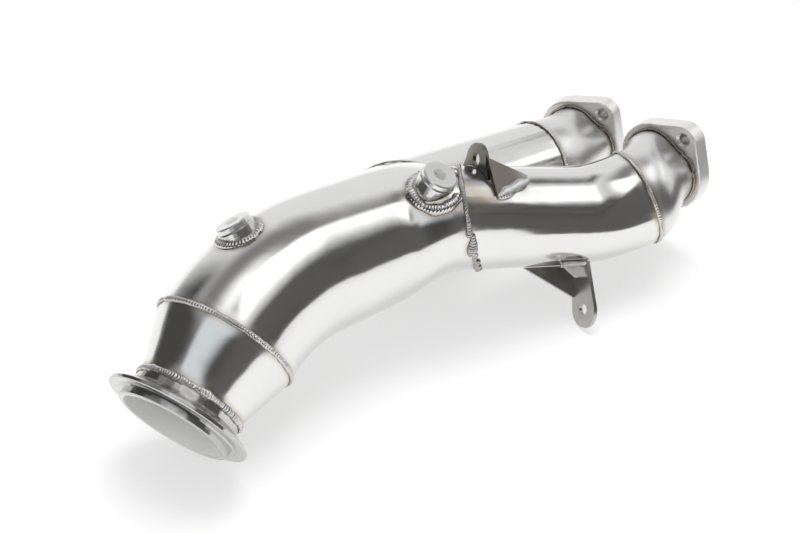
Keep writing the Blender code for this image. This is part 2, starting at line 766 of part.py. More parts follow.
def bracket(name, station, clock, lug_radius, lug_height, hole_height, foot, folds):
    """A lug that stands square to the near leg, with plates folded from it along the leg."""
    out = around_leg(clock)
    across = around_leg(clock + 90)
    crown = on_leg(station, clock, lug_height - lug_radius)
    outline = []
    for step in range(9):
        angle = math.radians(180 * step / 8)
        outline.append(crown + (across * math.cos(angle) + out * math.sin(angle)) * lug_radius)
    outline += [on_leg(station, foot[0], -LUG_SINK), on_leg(station, foot[1], -LUG_SINK)]
    lug = flat_plate(name, outline)
    for number, fold in enumerate(folds):
        union(lug, flat_plate(f"{name}_fold_guide_{number}", fold))
    middle = NEAR_OPENING.centre + NEAR_AXIS * station
    reach = 2 * (max(station, 0) + LEG_OD)
    cut(lug, rod(name + "_leg_guide", middle, NEAR_AXIS, LEG_OD / 2 + GAP, reach, ROUND * 2))
    cut(lug, rod(name + "_hole_guide", on_leg(station, clock, hole_height), NEAR_AXIS, LUG_HOLE / 2,
                 PLATE * 6, 20))
    return lug


def down_to_leg(point, along):
    """Where a line meets the near leg's outside, a gap off it."""
    offset = point - NEAR_OPENING.centre
    flat = along - NEAR_AXIS * along.dot(NEAR_AXIS)
    start = offset - NEAR_AXIS * offset.dot(NEAR_AXIS)
    a, b = flat.dot(flat), 2 * flat.dot(start)
    c = start.dot(start) - (LEG_OD / 2 + GAP) ** 2
    return point + along * ((-b - math.sqrt(b * b - 4 * a * c)) / (2 * a))


def wing_weld(name, wing, steps):
    """The bead along the edge of the upper bracket's wing, on the leg."""
    first, last = wing[1], wing[2]
    normal = plate_normal(wing)
    if normal.dot(around_leg(0)) < 0:
        normal = -normal
    outward = (last - first).cross(normal).normalized()
    if outward.dot(around_leg(-90)) < 0:
        outward = -outward
    corners, rises = [], []
    for step in range(steps + 1):
        edge = first.lerp(last, step / steps) + normal * PLATE / 2 + outward * GAP * 2
        corners.append(down_to_leg(edge, -normal))
        rises.append(edge - corners[-1])
    outs = []
    for corner in corners:
        toe = down_to_leg(corner + outward * BRACKET_FILLET + normal * BRACKET_FILLET, -normal)
        outs.append(toe - corner)
    return fillet(name, corners, rises, outs, 1.0, 1.0, closed=False)


def flap_weld(name, steps):
    """The bead along the foot of the lower bracket's flap."""
    face = around_leg(FLAP_CLOCK + 90) * (PLATE / 2 + GAP)
    start = FLAP[0][0] - BRACKET_FILLET
    stop = LOWER_STATION - PLATE / 2 - GAP
    corners, rises, outs = [], [], []
    for step in range(steps + 1):
        station = start + (stop - start) * step / steps
        out = around_leg(FLAP_CLOCK)
        corners.append(down_to_leg(on_leg(station, FLAP_CLOCK, BRACKET_FILLET) + face, -out))
        rises.append(out)
        toe = down_to_leg(corners[-1] + around_leg(FLAP_CLOCK + 90) * BRACKET_FILLET + out * BRACKET_FILLET, -out)
        outs.append((toe - corners[-1]) / BRACKET_FILLET)
    return fillet(name, corners, rises, outs, BRACKET_FILLET, BRACKET_FILLET, closed=False)


def build():
    clear_scene()
    inlet()
    pipe = main_pipe()
    tree = outer_tree()
    clearance = seam_clearance(NEAR_OPENING)
    seam_place = on_leg(SEAM_BUNG_STATION, SEAM_BUNG_CLOCK, -SEAM_BUNG_SINK)
    seam_bung_weld, seam_bore = bung("seam_sensor", seam_place,
                                     heading(SEAM_BUNG_AZIMUTH, SEAM_BUNG_PITCH), SEAM_BUNG_HEIGHT, tree)
    bend_bore = bung("bend_sensor", Y_MIDDLE + BEND_BUNG_PLACE,
                     heading(BEND_BUNG_AZIMUTH, BEND_BUNG_PITCH), BEND_BUNG_HEIGHT, tree)[1]
    cut(pipe, seam_bore)
    cut(pipe, bend_bore)
    cut(seam_bung_weld, clearance)
    for side, opening, run, frame in (("near", NEAR_OPENING, near_run(), NEAR_FLANGE),
                                      ("far", FAR_OPENING, far_run(), FAR_FLANGE)):
        leg(side + "_leg", opening, run)
        seam_weld(f"weld_{side}_seam", opening)
        neck(side + "_neck", run, frame)
        ring_weld(f"weld_{side}_ring", run.points[-1] + run.axes[-1] * GAP / 2, run.axes[-1], LEG_OD / 2)
        outlet_flange(side + "_outlet_flange", frame)
        flange_weld(f"weld_{side}_flange", frame)
    upper_wing = [on_leg(*place) for place in UPPER_WING]
    upper = bracket("upper_bracket", UPPER_STATION, UPPER_CLOCK, UPPER_LUG_RADIUS, UPPER_LUG_HEIGHT,
                    UPPER_HOLE_HEIGHT, UPPER_FOOT, [upper_wing])
    cut(upper, clearance)
    wing_weld("weld_upper_bracket", upper_wing, 6)
    flap = [on_leg(station, FLAP_CLOCK, height) for station, height in FLAP]
    bracket("lower_bracket", LOWER_STATION, LOWER_CLOCK, LOWER_LUG_RADIUS, LOWER_LUG_HEIGHT,
            LOWER_HOLE_HEIGHT, LOWER_FOOT, [[on_leg(*place) for place in LOWER_WING], flap])
    flap_weld("weld_lower_bracket", 5)


build()
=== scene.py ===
# %% [markdown]
# # A polished turbo downpipe
#
# This scene dresses the solids of a stainless steel exhaust downpipe: a V-band flange, a short
# cone, a wide bend, a Y into two legs, and a thick flange on the end of each leg. Polished metal
# has hardly any colour of its own. It looks like whatever stands around it, so most of the work
# goes into smooth surfaces, into the light, and into the marks that a welder and a polisher leave.

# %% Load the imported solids
import math

import bmesh
import bpy
import numpy as np
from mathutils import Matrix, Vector
from mathutils.bvhtree import BVHTree
from mathutils.kdtree import KDTree


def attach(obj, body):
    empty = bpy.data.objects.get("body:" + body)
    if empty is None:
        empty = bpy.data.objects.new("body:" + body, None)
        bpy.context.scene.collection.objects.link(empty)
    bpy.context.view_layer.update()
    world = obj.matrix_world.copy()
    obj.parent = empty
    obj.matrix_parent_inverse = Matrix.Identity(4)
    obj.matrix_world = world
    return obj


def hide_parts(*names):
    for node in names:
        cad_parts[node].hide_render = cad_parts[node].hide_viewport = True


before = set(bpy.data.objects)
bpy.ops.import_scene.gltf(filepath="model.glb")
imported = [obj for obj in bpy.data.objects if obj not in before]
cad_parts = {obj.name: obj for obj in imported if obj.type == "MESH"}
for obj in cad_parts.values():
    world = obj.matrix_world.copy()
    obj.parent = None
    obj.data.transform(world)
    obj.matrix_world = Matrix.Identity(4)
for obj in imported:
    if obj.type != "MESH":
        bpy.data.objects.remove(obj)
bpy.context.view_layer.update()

# %% [markdown]
# ## The camera
#
# The pipe was photographed from above and a little way off, with a fairly long lens. A camera that
# looks down by 39 degrees, with no roll, gives the same outline. It is placed first, because every
# later choice is judged through it.

# %% Place the camera
VIEW_DOWN = math.radians(38.771324)

lens = bpy.data.cameras.new("camera")
lens.lens = 54
lens.sensor_width = 36
camera = bpy.data.objects.new("camera", lens)
bpy.context.scene.collection.objects.link(camera)
camera.location = (-0.0279, -0.718857, 0.612877)
camera.rotation_euler = (math.radians(90) - VIEW_DOWN, 0, 0)
bpy.context.scene.camera = camera
bpy.context.scene.view_settings.view_transform = "Standard"
print("camera looks down by", round(math.degrees(VIEW_DOWN), 1), "degrees")

# %% [markdown]
# ## Shader maths in plain Python
#
# A finish is a small program of nodes. Wiring each node by hand hides the idea, so a thin class
# wraps one socket and lets Python's own signs add the Math nodes. Every other node comes from one
# method, which sets the node's settings first and its sockets after them.


# %% A value in a material
class Value:
    """One socket of a material. Sums and products of values add the nodes that work them out."""

    def __init__(self, tree, socket):
        self.tree = tree
        self.socket = socket

    def node(self, kind, settings=None, sockets=None, out=0):
        """Adds a node of that kind and gives back one of its outputs."""
        made = self.tree.nodes.new(kind)
        for name, setting in (settings or {}).items():
            setattr(made, name, setting)
        for name, given in (sockets or {}).items():
            if isinstance(given, Value):
                self.tree.links.new(given.socket, made.inputs[name])
            else:
                made.inputs[name].default_value = given
        return Value(self.tree, made.outputs[out] if made.outputs else None)

    def maths(self, operation, *others):
        """A Math node on this value and up to two others."""
        return self.node("ShaderNodeMath", {"operation": operation}, dict(enumerate((self, *others))))

    def __add__(self, other):
        return self.maths("ADD", other)

    def __sub__(self, other):
        return self.maths("SUBTRACT", other)

    def __mul__(self, other):
        return self.maths("MULTIPLY", other)

    def __truediv__(self, other):
        return self.maths("DIVIDE", other)

    def __rsub__(self, other):
        return (self * -1) + other

    __radd__ = __add__
    __rmul__ = __mul__

    def fade(self, start, end):
        """0 at start and 1 at end, with a smooth step between them."""
        return self.node("ShaderNodeMapRange", {"interpolation_type": "SMOOTHSTEP"},
                         {0: self, 1: start, 2: end, 3: 0.0, 4: 1.0})

    def blend(self, first, second):
        """Colour first where this value is 0, and second where it is 1."""
        sockets = {0: self, 6: first, 7: second}
        return self.node("ShaderNodeMix", {"data_type": "RGBA"}, sockets, out=2)


def colour(red, green, blue):
    """A colour with its alpha, as a socket takes it."""
    return (red, green, blue, 1)


def bare_material(name):
    """A material with no nodes yet, and the value from which its nodes grow."""
    made = bpy.data.materials.new(name)
    made.use_nodes = True
    made.node_tree.nodes.clear()
    return made, Value(made.node_tree, None)


def looked_at(base):
    """1 for the rays of the camera, of reflections and of glass, and 0 for the rays that carry light."""
    rays = base.tree.nodes.new("ShaderNodeLightPath")
    return sum((Value(base.tree, rays.outputs[name])
                for name in ("Is Camera Ray", "Is Glossy Ray", "Is Transmission Ray")), 0)


print("shader values are ready")

# %% [markdown]
# ## The floor and the room
#
# The photograph has a pure white ground that keeps a soft grey shadow. A wide, plain floor gives
# both. For the camera and for reflections, half of the floor's colour is a white glow of its own, so
# no extra light has to fall on the metal. The other half takes light, and so it keeps the shadow.

# %% The floor
bpy.ops.object.select_all(action="DESELECT")
bpy.ops.mesh.primitive_plane_add(size=14, location=(0, 0, 0))
floor = bpy.context.object
floor.name = "floor"

GLOW_SHARE = 0.50
paper, sheet = bare_material("white_paper")
matt = sheet.node("ShaderNodeBsdfDiffuse", sockets={"Color": colour(0.93, 0.93, 0.93)})
glow = sheet.node("ShaderNodeEmission", sockets={"Color": colour(1, 1, 1), "Strength": 1.0})
mixed = sheet.node("ShaderNodeMixShader", sockets={0: looked_at(sheet) * GLOW_SHARE, 1: matt, 2: glow})
sheet.node("ShaderNodeOutputMaterial", sockets={"Surface": mixed})
floor.data.materials.append(paper)
print("floor:", floor.name)

# %% [markdown]
# ## Light that draws on chrome
#
# A polished tube is lit by drawing bands on it. What stood round the real pipe isn't known, so the
# bright and dark fields are worked out from the bands in the photograph, by the direction in which
# each part of the tube looks. A large dome carries them. Only reflections see it, so it blocks no
# view of the pipe. Two plain lamps light the rest, and the one overhead makes the floor's shadow.

# %% The white room and its lamps
PIPE_MIDDLE = Vector((0.0, 0.0, 0.07))

room = bpy.data.worlds.new("room")
bpy.context.scene.world = room
room.use_nodes = True
room.node_tree.nodes.clear()
air = Value(room.node_tree, None)
backdrop = air.node("ShaderNodeBackground", sockets={"Color": colour(1, 1, 1), "Strength": 1.0})
ambient = air.node("ShaderNodeBackground", sockets={"Color": colour(1, 1, 1), "Strength": 0.72})
mixed = air.node("ShaderNodeMixShader", sockets={0: looked_at(air), 1: ambient, 2: backdrop})
air.node("ShaderNodeOutputWorld", sockets={"Surface": mixed})


def soft_lamp(name, place, width, height, power):
    """A rectangular soft box that faces the middle of the pipe."""
    light = bpy.data.lights.new(name, "AREA")
    light.shape = "RECTANGLE"
    light.size = width
    light.size_y = height
    light.energy = power
    lamp = bpy.data.objects.new(name, light)
    bpy.context.scene.collection.objects.link(lamp)
    lamp.location = place
    lamp.rotation_euler = (PIPE_MIDDLE - Vector(place)).to_track_quat("-Z", "Y").to_euler()
    lamp.visible_glossy = False
    return lamp


lamps = [soft_lamp("overhead_box", (0.12, 0.3, 1.8), 1.1, 0.9, 21),
         soft_lamp("front_box", (-0.75, -1.15, 0.28), 0.6, 0.4, 6)]
print("lamps:", [lamp.name for lamp in lamps])

# %% The dome that reflections see
def only_reflected(piece):
    """Hides a piece from everything but reflections."""
    for kind in ("camera", "diffuse", "transmission", "volume_scatter", "shadow"):
        setattr(piece, "visible_" + kind, False)


bpy.ops.object.select_all(action="DESELECT")
bpy.ops.mesh.primitive_uv_sphere_add(segments=48, ring_count=24, radius=3)
dome = bpy.context.object
dome.name = "reflected_room"
only_reflected(dome)

# A place on the dome is named by two angles: turn goes right from straight behind the pipe, and rise
# goes up from the floor.
SOFT_BOXES = (
    # middle turn, half width, middle rise, half height, softness, brightness, and blue (above 1) or
    # warmth (below 1)
    (9, 144, 65.5, 14, 12, 0.24, 0.985),
    (150, 48, 18, 29, 5, 0.12, 0.985),
    (-120, 75, 24, 26, 12, 0.07, 0.985),
    (-163, 36, 49, 9, 6, 0.82, 1.05),
    (93, 45, 70, 15, 8, 1.6, 1.0),
    (0, 181, 93, 10, 10, 1.45, 1.0),
    (75, 22, 35, 4, 3, 1.6, 1.0),
    (36, 10, 33, 5, 7, 0.05, 0.985),
    (99, 8, 20, 28, 9, 0.06, 0.985),
)
painted, canvas = bare_material("room_light")
spot = canvas.node("ShaderNodeTexCoord", out=3)
aimed = spot.node("ShaderNodeVectorMath", {"operation": "NORMALIZE"}, {0: spot})
x, y, z = (aimed.node("ShaderNodeSeparateXYZ", sockets={0: aimed}, out=axis) for axis in range(3))
turn = x.maths("ARCTAN2", y) * math.degrees(1)
rise = z.maths("ARCSINE") * math.degrees(1)
shade = colour(0.88, 0.88, 0.89)
for middle, half_width, height, half_height, soft, tone, blue in SOFT_BOXES:
    aside = (turn - middle).maths("WRAP", 180, -180).maths("ABSOLUTE")
    above = (rise - height).maths("ABSOLUTE")
    inside = 1 - aside.fade(half_width - soft, half_width + soft)
    inside = inside * (1 - above.fade(half_height - soft, half_height + soft))
    shade = inside.blend(shade, colour(tone * (2 - blue), tone, tone * blue))
lit = canvas.node("ShaderNodeEmission", sockets={"Color": shade, "Strength": 1.0})
canvas.node("ShaderNodeOutputMaterial", sockets={"Surface": lit})
dome.data.materials.append(painted)
print("soft boxes and dark walls:", len(SOFT_BOXES))

# %% Two dark cards, low on the right and over the near flange
CARDS = {
    # name: one foot, the other foot, and the way from the feet to the top
    "dark_edge": ((0.33, -0.195, 0), (0.45, 0.42, 0), (0, 0, 0.11)),
    "dark_flag": ((0.215, -0.129, 0.210), (0.257, -0.038, 0.210), (-0.090, 0.042, 0.062)),
}
felt, cloth = bare_material("black_felt")
dim = cloth.node("ShaderNodeEmission", sockets={"Color": colour(1, 0.98, 0.95), "Strength": 0.12})
cloth.node("ShaderNodeOutputMaterial", sockets={"Surface": dim})

for name, (one_foot, other_foot, upwards) in CARDS.items():
    bpy.ops.object.select_all(action="DESELECT")
    bpy.ops.mesh.primitive_plane_add(size=1)
    card = bpy.context.object
    card.name = name
    for vertex in card.data.vertices:
        foot = Vector(other_foot if vertex.co.x > 0 else one_foot)
        vertex.co = foot + Vector(upwards) if vertex.co.y > 0 else foot
    only_reflected(card)
    card.data.materials.append(felt)
print("dark cards:", ", ".join(CARDS))

# %% [markdown]
# ## Smooth copies of the solids
#
# The solids are made of flat facets, which a mirror would show at once. Each tube is copied, its
# loose triangles are joined, its real corners are creased, and a Subdivision Surface rounds the
# rest. The copy keeps the solid's place and size. The main pipe's shoulder over the Y is evened as
# well, by up to 2.6 mm, because its facets bend the reflected bands there.

# %% Refine a solid
BEADS = sorted(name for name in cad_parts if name.startswith("weld_"))
SHOULDER = (-0.015, -0.035, 0.110)   # where the bend swells into the Y
SHOULDER_REACH = 0.09
LAID = ["weld_near_flange", "weld_far_flange", "weld_cone", "weld_near_ring", "weld_far_ring",
        "weld_near_seam", "weld_far_seam", "weld_vband", "weld_upper_bracket",
        "weld_seam_sensor_bung", "weld_bend_sensor_bung"]
SHEETS = ["upper_bracket", "lower_bracket"]
TURNED = ["vband_flange", "seam_sensor_bung", "bend_sensor_bung", "seam_sensor_plug", "bend_sensor_plug"]
FLANGES = ["near_outlet_flange", "far_outlet_flange"]
TUBES = ["inlet_cone", "main_pipe", "near_leg", "far_leg", "near_neck", "far_neck"]


def points_of(piece):
    """The places of a piece's vertices, as rows of x, y and z."""
    rows = np.zeros(len(piece.data.vertices) * 3, np.float32)
    piece.data.vertices.foreach_get("co", rows)
    return rows.reshape(-1, 3)


def keep(piece, name, values):
    """Stores one number for each vertex."""
    made = piece.data.attributes.new(name, "FLOAT", "POINT")
    made.data.foreach_set("value", np.asarray(values, np.float32))


def surface_of(mesh):
    """A mesh as a tree, in which a ray or the nearest place is found fast."""
    return BVHTree.FromPolygons([v.co for v in mesh.vertices], [face.vertices for face in mesh.polygons])


OFF_THE_FACE = 0.0008    # where a ray starts, so that it misses its own face
WIDEST_BORE = 0.1
LEAN = 0.8               # how far the four outer rays lean away from the first


def mark_bores(piece, needed, nearest):
    """Marks faces with 1 where enough of five rays out of them meet the piece again, as in a bore."""
    mesh = piece.data
    tree = surface_of(mesh)
    marks = []
    for face in mesh.polygons:
        side = face.normal.orthogonal().normalized()
        other = face.normal.cross(side)
        ways = [face.normal] + [face.normal + tilt * LEAN for tilt in (side, -side, other, -other)]
        start = face.center + face.normal * OFF_THE_FACE
        gaps = [tree.ray_cast(start, way, WIDEST_BORE)[3] for way in ways]
        met = [gap is not None and gap > nearest for gap in gaps]
        marks.append(met[0] and sum(met) >= needed)
    made = mesh.attributes.new("inside", "FLOAT", "FACE")
    made.data.foreach_set("value", np.array(marks, np.float32))


def evened(mesh, middle, reach, rounds=110):
    """Takes kinks out of a surface round a place: each pass pulls points in, then lets them out."""
    shape = bmesh.new()
    shape.from_mesh(mesh)
    firm = {vertex.index for edge in shape.edges if edge.calc_face_angle(math.pi) > math.radians(50)
            for vertex in edge.verts}
    pairs = np.array([[vertex.index for vertex in edge.verts] for edge in shape.edges])
    weight = 1 / np.array([edge.calc_length() for edge in shape.edges])
    places = np.array([vertex.co for vertex in shape.verts])
    normals = np.array([vertex.normal for vertex in shape.verts])
    free = np.array([0.0 if vertex.index in firm else 1.0 for vertex in shape.verts])
    free *= np.clip(2 - 2 * np.linalg.norm(places - np.array(middle), axis=1) / reach, 0, 1)
    total_weight = np.bincount(pairs.ravel(), np.repeat(weight, 2), len(places))[:, None]
    start = places.copy()
    for pull in (0.6, -0.606) * rounds:
        total = np.zeros_like(places)
        np.add.at(total, pairs[:, 0], places[pairs[:, 1]] * weight[:, None])
        np.add.at(total, pairs[:, 1], places[pairs[:, 0]] * weight[:, None])
        way = total / total_weight - places
        places += normals * ((way * normals).sum(1) * pull * free)[:, None]
    for vertex, place in zip(shape.verts, places):
        vertex.co = place
    shape.to_mesh(mesh)
    shape.free()
    moved = float(np.linalg.norm(places - start, axis=1).max()) * 1000
    print("evened", mesh.name, "by up to", round(moved, 2), "mm")


def refined(name, finish_name, levels=2, corner=32, even=False):
    """A smooth copy of a solid that stands for it."""
    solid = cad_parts[name]
    piece = bpy.data.objects.new(name + "_" + finish_name, solid.data.copy())
    bpy.context.scene.collection.objects.link(piece)
    bpy.ops.object.select_all(action="DESELECT")
    piece.select_set(True)
    bpy.context.view_layer.objects.active = piece
    if piece.data.has_custom_normals:
        bpy.ops.mesh.customdata_custom_splitnormals_clear()
    bpy.ops.object.mode_set(mode="EDIT")
    bpy.ops.mesh.select_all(action="SELECT")
    bpy.ops.mesh.remove_doubles(threshold=0.00001)
    bpy.ops.mesh.tris_convert_to_quads(face_threshold=math.radians(25), shape_threshold=math.radians(60))
    bpy.ops.mesh.select_all(action="DESELECT")
    bpy.ops.mesh.edges_select_sharp(sharpness=math.radians(corner))
    bpy.ops.transform.edge_crease(value=1)
    bpy.ops.object.mode_set(mode="OBJECT")
    if even:
        evened(piece.data, SHOULDER, SHOULDER_REACH)
    if name in TUBES:
        mark_bores(piece, needed=4, nearest=0.008)
    elif name in TURNED:
        mark_bores(piece, needed=1, nearest=0.008)
    elif name in FLANGES:
        mark_bores(piece, needed=1, nearest=0.005)
    if levels:
        rounding = piece.modifiers.new("rounding", "SUBSURF")
        rounding.levels = levels
        rounding.render_levels = levels
        bpy.ops.object.modifier_apply(modifier=rounding.name)
    bpy.ops.object.shade_smooth_by_angle(angle=math.radians(corner))
    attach(piece, "root")
    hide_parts(name)
    return piece


tubes = {name: refined(name, "tube", even=name == "main_pipe") for name in TUBES}
turned = {name: refined(name, "turned", corner=28) for name in TURNED}
plates = {name: refined(name, "plate", levels=0, corner=28) for name in FLANGES + SHEETS}
beads = {name: refined(name, "bead", levels=3, corner=75) for name in BEADS if name not in LAID}
pieces = {**tubes, **turned, **plates, **beads}
print("faces:", {name: len(piece.data.polygons) for name, piece in pieces.items()})

# %% [markdown]
# ## Countersunk bolt holes
#
# Each outlet flange has two ears with a bolt hole, and each hole's mouth is opened a little by a
# countersink, which catches the light as a bright rim. A cone is set on the hole's own axis and
# taken away from the flange's copy with a Boolean modifier.

# %% Open the holes' mouths
EAR_REACH = 0.0255
SINK_RADIUS, HOLE_RADIUS, SINK_DEPTH, SINK_RUN_UP = 0.0062, 0.0045, 0.0017, 0.0010
FLANGE_FRAMES = {   # middle of the face, way out of the face, and the two ways across it
    "near_outlet_flange": ((0.1800, 0.0790, 0.0744), (0.69929, 0.71484, 0.0), (0.67829, -0.66354, 0.31565)),
    "far_outlet_flange": ((0.1291, 0.1698, 0.0415), (0.54068, 0.84123, 0.0), (0.8118, -0.52177, 0.26219)),
}


def countersink(piece, place, axis):
    """Cuts a cone out of a plate's face, round a hole."""
    slope = (SINK_RADIUS - HOLE_RADIUS) / SINK_DEPTH
    bpy.ops.object.select_all(action="DESELECT")
    bpy.ops.mesh.primitive_cone_add(
        vertices=48, radius1=SINK_RADIUS + slope * SINK_RUN_UP, radius2=HOLE_RADIUS,
        depth=SINK_DEPTH + SINK_RUN_UP, location=place + axis * (SINK_DEPTH - SINK_RUN_UP) / 2,
        rotation=axis.to_track_quat("Z", "Y").to_euler())
    cone = bpy.context.object
    cutting = piece.modifiers.new("countersink", "BOOLEAN")
    cutting.operation = "DIFFERENCE"
    cutting.solver = "EXACT"
    cutting.object = cone
    bpy.context.view_layer.objects.active = piece
    bpy.ops.object.modifier_apply(modifier=cutting.name)
    bpy.data.objects.remove(cone)


for name, (middle, axis, across) in FLANGE_FRAMES.items():
    upward = Vector(axis).cross(Vector(across))
    upward = upward if upward.z > 0 else -upward
    for ear in (EAR_REACH, -EAR_REACH):
        countersink(pieces[name], Vector(middle) + (Vector(across) + upward) * ear, Vector(axis))
print("countersunk:", {name: len(pieces[name].data.polygons) for name in FLANGE_FRAMES})

# %% [markdown]
# ## Rings from the lathe
#
# A turned piece carries fine rings that a lathe's tool leaves. They follow the piece's own profile,
# so every point gets one number: its distance from the axis, plus a share of its height along it.

# %% Measure each turned piece from its own axis
SHARE_OF_HEIGHT = 0.7


def lathe_axis(points):
    """The middle of a turned piece, and its axis, which is the odd one of its three directions."""
    centre = points.mean(0)
    spread, directions = np.linalg.eigh(np.cov((points - centre).T))
    odd = 0 if spread[1] - spread[0] > spread[2] - spread[1] else 2
    return centre, directions[:, odd]


for name in TURNED:
    points = points_of(turned[name])
    centre, axis = lathe_axis(points)
    height = (points - centre) @ axis
    radius = np.linalg.norm(points - centre - height[:, None] * axis, axis=1)
    keep(turned[name], "lathe", radius + height * SHARE_OF_HEIGHT)
print("turned about their axes:", TURNED)

# %% [markdown]
# ## Beads laid dab by dab
#
# A hand-laid bead is a row of small crescents, one for each dab of filler. The solids only carry its
# plain outline, so the beads that the photograph shows well are laid again here: a section is swept
# along the solid's own middle line, and it swells and shrinks with each dab. Two numbers are kept
# for the finish: how far along the seam a point lies, and how far off its middle.

# %% Find each bead's middle line
def middle_line(points):
    """Points along the middle of a ring or a strip, and whether it closes."""
    centre = points.mean(0)
    directions = np.linalg.svd(points - centre, full_matrices=False)[2]
    flat = (points - centre) @ directions[:2].T
    ring = np.hypot(*flat.T).min() > 0.25 * np.hypot(*flat.T).max()
    place = np.arctan2(flat[:, 1], flat[:, 0]) if ring else flat[:, 0]
    low, span = (-math.pi, math.tau) if ring else (place.min(), np.ptp(place))
    steps = 48 if ring else 7
    bins = np.minimum(((place - low) / span * steps).astype(int), steps - 1)
    line = np.array([points[bins == k].mean(0) for k in range(steps) if (bins == k).any()])
    return (np.vstack([line, line[:1]]) if ring else line), ring


def evenly(line, spacing):
    """Points on a line at an even spacing, and how far along each one lies."""
    lengths = np.linalg.norm(np.diff(line, axis=0), axis=1)
    run = np.concatenate([[0], np.cumsum(lengths)])
    along = np.linspace(0, run[-1], max(int(run[-1] / spacing), 8) + 1)
    return np.stack([np.interp(along, run, line[:, axis]) for axis in range(3)], axis=1), along


def measure_bead(piece):
    """Keeps each vertex's distance along the bead and its share of the way to the bead's toe."""
    points = points_of(piece)
    fine, run = evenly(middle_line(points)[0], 0.0004)
    tree = KDTree(len(fine))
    for index, point in enumerate(fine):
        tree.insert(point, index)
    tree.balance()
    found = [tree.find(point) for point in points]
    off = np.array([hit[2] for hit in found])
    keep(piece, "along", [run[hit[1]] for hit in found])
    keep(piece, "off_middle", off / (np.percentile(off, 98) + 1e-9))
    return run[-1]


lengths = {name: float(measure_bead(piece)) for name, piece in beads.items()}
print("bead lengths in mm:", {name: round(length * 1000) for name, length in lengths.items()})

# %% Lay a bead
RIPPLE = 0.0021         # from one dab to the next
ROUND_STEPS = 14        # points round a bead's section
LINE_STEP = 0.00036     # points along a bead
chance = np.random.default_rng(7)


def unit(rows):
    """Rows scaled to a length of 1."""
    return rows / np.linalg.norm(rows, axis=-1, keepdims=True)


def wander(along, size):
    """A slow, uneven swelling along a bead, as a hand gives it."""
    waves = [(chance.uniform(0.006, 0.03), chance.uniform(0, math.tau)) for _ in range(5)]
    return 1 + size * sum(np.sin(along / length * math.tau + start) for length, start in waves) / 2.2


def lay_bead(name, line, ups, width, height, swell=None, uneven=0.10, closed=True):
    """Sweeps a dabbed section along a line; ups point away from the metal."""
    along = np.concatenate([[0], np.cumsum(np.linalg.norm(np.diff(line, axis=0), axis=1))])
    if closed:
        length = along[-1]
        line, ups, along = line[:-1], ups[:-1], along[:-1]
        pitch = length / round(length / RIPPLE)
        ahead = np.roll(line, -1, 0) - np.roll(line, 1, 0)
    else:
        pitch = RIPPLE
        ahead = np.gradient(line, axis=0)
    sides = unit(np.cross(unit(ahead), ups))
    share = wander(along, uneven)
    if closed:
        ease = np.clip(along / (length * 0.1), 0, 1)
        share = 1 + (share - 1) * ease * np.clip((length - along) / (length * 0.1), 0, 1)
    else:
        ends = np.minimum(along, along[-1] - along) / (width * 0.6)
        share = share * np.sqrt(np.clip(1 - (1 - np.clip(ends, 0, 1)) ** 2, 0.02, 1))
    if swell is not None:
        share = share * swell
    rows, kept_along, kept_off = [], [], []
    for turn in range(ROUND_STEPS):
        angle = math.tau * turn / ROUND_STEPS
        aside, above = math.cos(angle), math.sin(angle)
        dab = (along / pitch + aside * aside * 0.8) % 1
        lift = 1 + 0.11 * (1 - dab) * (above > 0)
        reach = width / 2 * aside * share * (1 + 0.05 * (1 - dab))
        rise = height * above * share * lift if above > 0 else 0.5 * height * above * share
        rows.append(line + sides * reach[:, None] + ups * np.asarray(rise)[:, None])
        kept_along.append(along)
        kept_off.append(np.full(len(along), abs(aside)))
    count = len(line)
    mesh = bpy.data.meshes.new(name + "_laid")
    faces = []
    for t in range(ROUND_STEPS):
        here, there = t * count, ((t + 1) % ROUND_STEPS) * count
        for k in range(count if closed else count - 1):
            after = (k + 1) % count
            faces.append((here + k, here + after, there + after, there + k))
    if not closed:
        faces.append([t * count for t in range(ROUND_STEPS)])
        faces.append([t * count + count - 1 for t in range(ROUND_STEPS)])
    mesh.from_pydata(np.concatenate(rows).tolist(), [], faces)
    piece = bpy.data.objects.new(name + "_laid", mesh)
    bpy.context.scene.collection.objects.link(piece)
    keep(piece, "along", np.concatenate(kept_along))
    keep(piece, "off_middle", np.concatenate(kept_off))
    bpy.ops.object.select_all(action="DESELECT")
    piece.select_set(True)
    bpy.context.view_layer.objects.active = piece
    bpy.ops.object.mode_set(mode="EDIT")
    bpy.ops.mesh.select_all(action="SELECT")
    bpy.ops.mesh.normals_make_consistent(inside=False)
    bpy.ops.object.mode_set(mode="OBJECT")
    bpy.ops.object.shade_smooth_by_angle(angle=math.radians(60))
    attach(piece, "root")
    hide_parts(name)
    return piece


# %% The ring beads round the tubes
def ring_bead(name, width, height, swell_at=None, swell_by=1.0, swell_reach=0.01, uneven=0.10):
    """A bead round a tube, along the middle of its solid."""
    points = points_of(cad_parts[name])
    line = evenly(middle_line(points)[0], LINE_STEP)[0]
    centre = line.mean(0)
    axis = np.linalg.svd(line - centre, full_matrices=False)[2][2]
    outward = line - centre
    outward = unit(outward - (outward @ axis)[:, None] * axis)
    swell = None
    if swell_at is not None:
        near = np.linalg.norm(line - np.array(swell_at), axis=1) / swell_reach
        swell = (1 + (swell_by - 1) * np.exp(-near ** 2))[:-1]
    return lay_bead(name, line - outward * height * 0.5, outward, width, height, swell, uneven)


